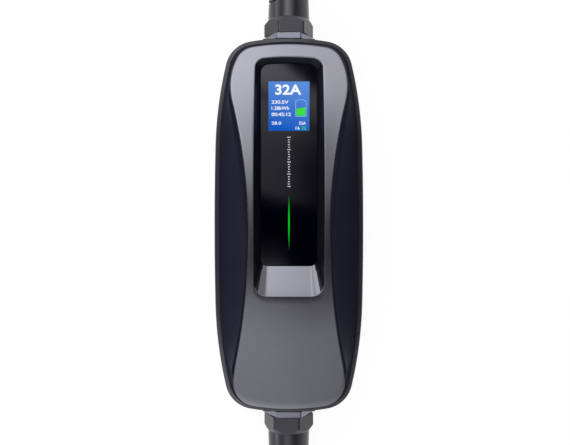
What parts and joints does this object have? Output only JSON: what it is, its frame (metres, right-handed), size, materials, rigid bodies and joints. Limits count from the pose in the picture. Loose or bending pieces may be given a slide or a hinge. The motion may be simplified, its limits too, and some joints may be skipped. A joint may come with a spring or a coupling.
{
  "type": "portable electric vehicle charger",
  "caption": "Oval control box of a portable vehicle charger: waisted grey face round a recessed dark display, scooped dark flanks, and a slotted cable gland at each end.",
  "frame": {"origin": "middle of the box's back face, on the surface that it lies on", "axes": "+Z out of the front face, +Y along the box towards the supply gland, +X to the right when the front is seen with the supply gland up"},
  "size_m": [0.0996, 0.351, 0.058],
  "materials": {
    "black_abs": "smooth satin black ABS",
    "grey_abs": "satin gunmetal grey lacquer on ABS",
    "black_acrylic": "gloss black acrylic with a clear panel over the display",
    "black_nylon": "black nylon with a faint sheen",
    "nickel_brass": "nickel plated brass, satin",
    "rubber": "matt black rubber",
    "clear_plastic": "clear light pipe, lit green",
    "display_glass": "colour liquid crystal display",
    "white_plastic": "white plastic",
    "board_green": "green solder mask on glass epoxy",
    "steel": "zinc plated steel",
    "copper": "bare copper",
    "component_black": "black moulding compound",
    "component_blue": "blue epoxy coat",
    "terminal_grey": "grey polyamide",
    "can_aluminium": "sleeved aluminium can"
  },
  "bodies": {
    "root": {"rear_shell": "black_abs", "front_shell": "black_abs", "fascia": "grey_abs", "display_window": "black_acrylic", "lcd_panel": "display_glass", "lcd_backlight": "white_plastic", "display_board": "board_green", "light_guide": "clear_plastic", "status_leds": "white_plastic", "lid_seal": "rubber", "case_screws": "steel", "main_board": "board_green", "line_relay": "component_black", "neutral_relay": "component_black", "line_link": "copper", "neutral_link": "copper", "leakage_sensor": "component_black", "power_module": "component_black", "filter_capacitor": "white_plastic", "surge_varistor": "component_blue", "reservoir_capacitor": "can_aluminium", "buzzer": "component_black", "board_header": "white_plastic", "display_header": "white_plastic", "display_ribbon": "white_plastic", "microcontroller": "component_black", "pilot_driver": "component_black", "supply_terminal": "terminal_grey", "vehicle_terminal": "terminal_grey", "supply_gland_gasket": "rubber", "supply_gland_body": "nickel_brass", "supply_gland_locknut": "nickel_brass", "supply_gland_seal": "rubber", "supply_gland_nut": "black_nylon", "vehicle_gland_gasket": "rubber", "vehicle_gland_body": "nickel_brass", "vehicle_gland_locknut": "nickel_brass", "vehicle_gland_seal": "rubber", "vehicle_gland_nut": "black_nylon"}
  },
  "joints": []
}
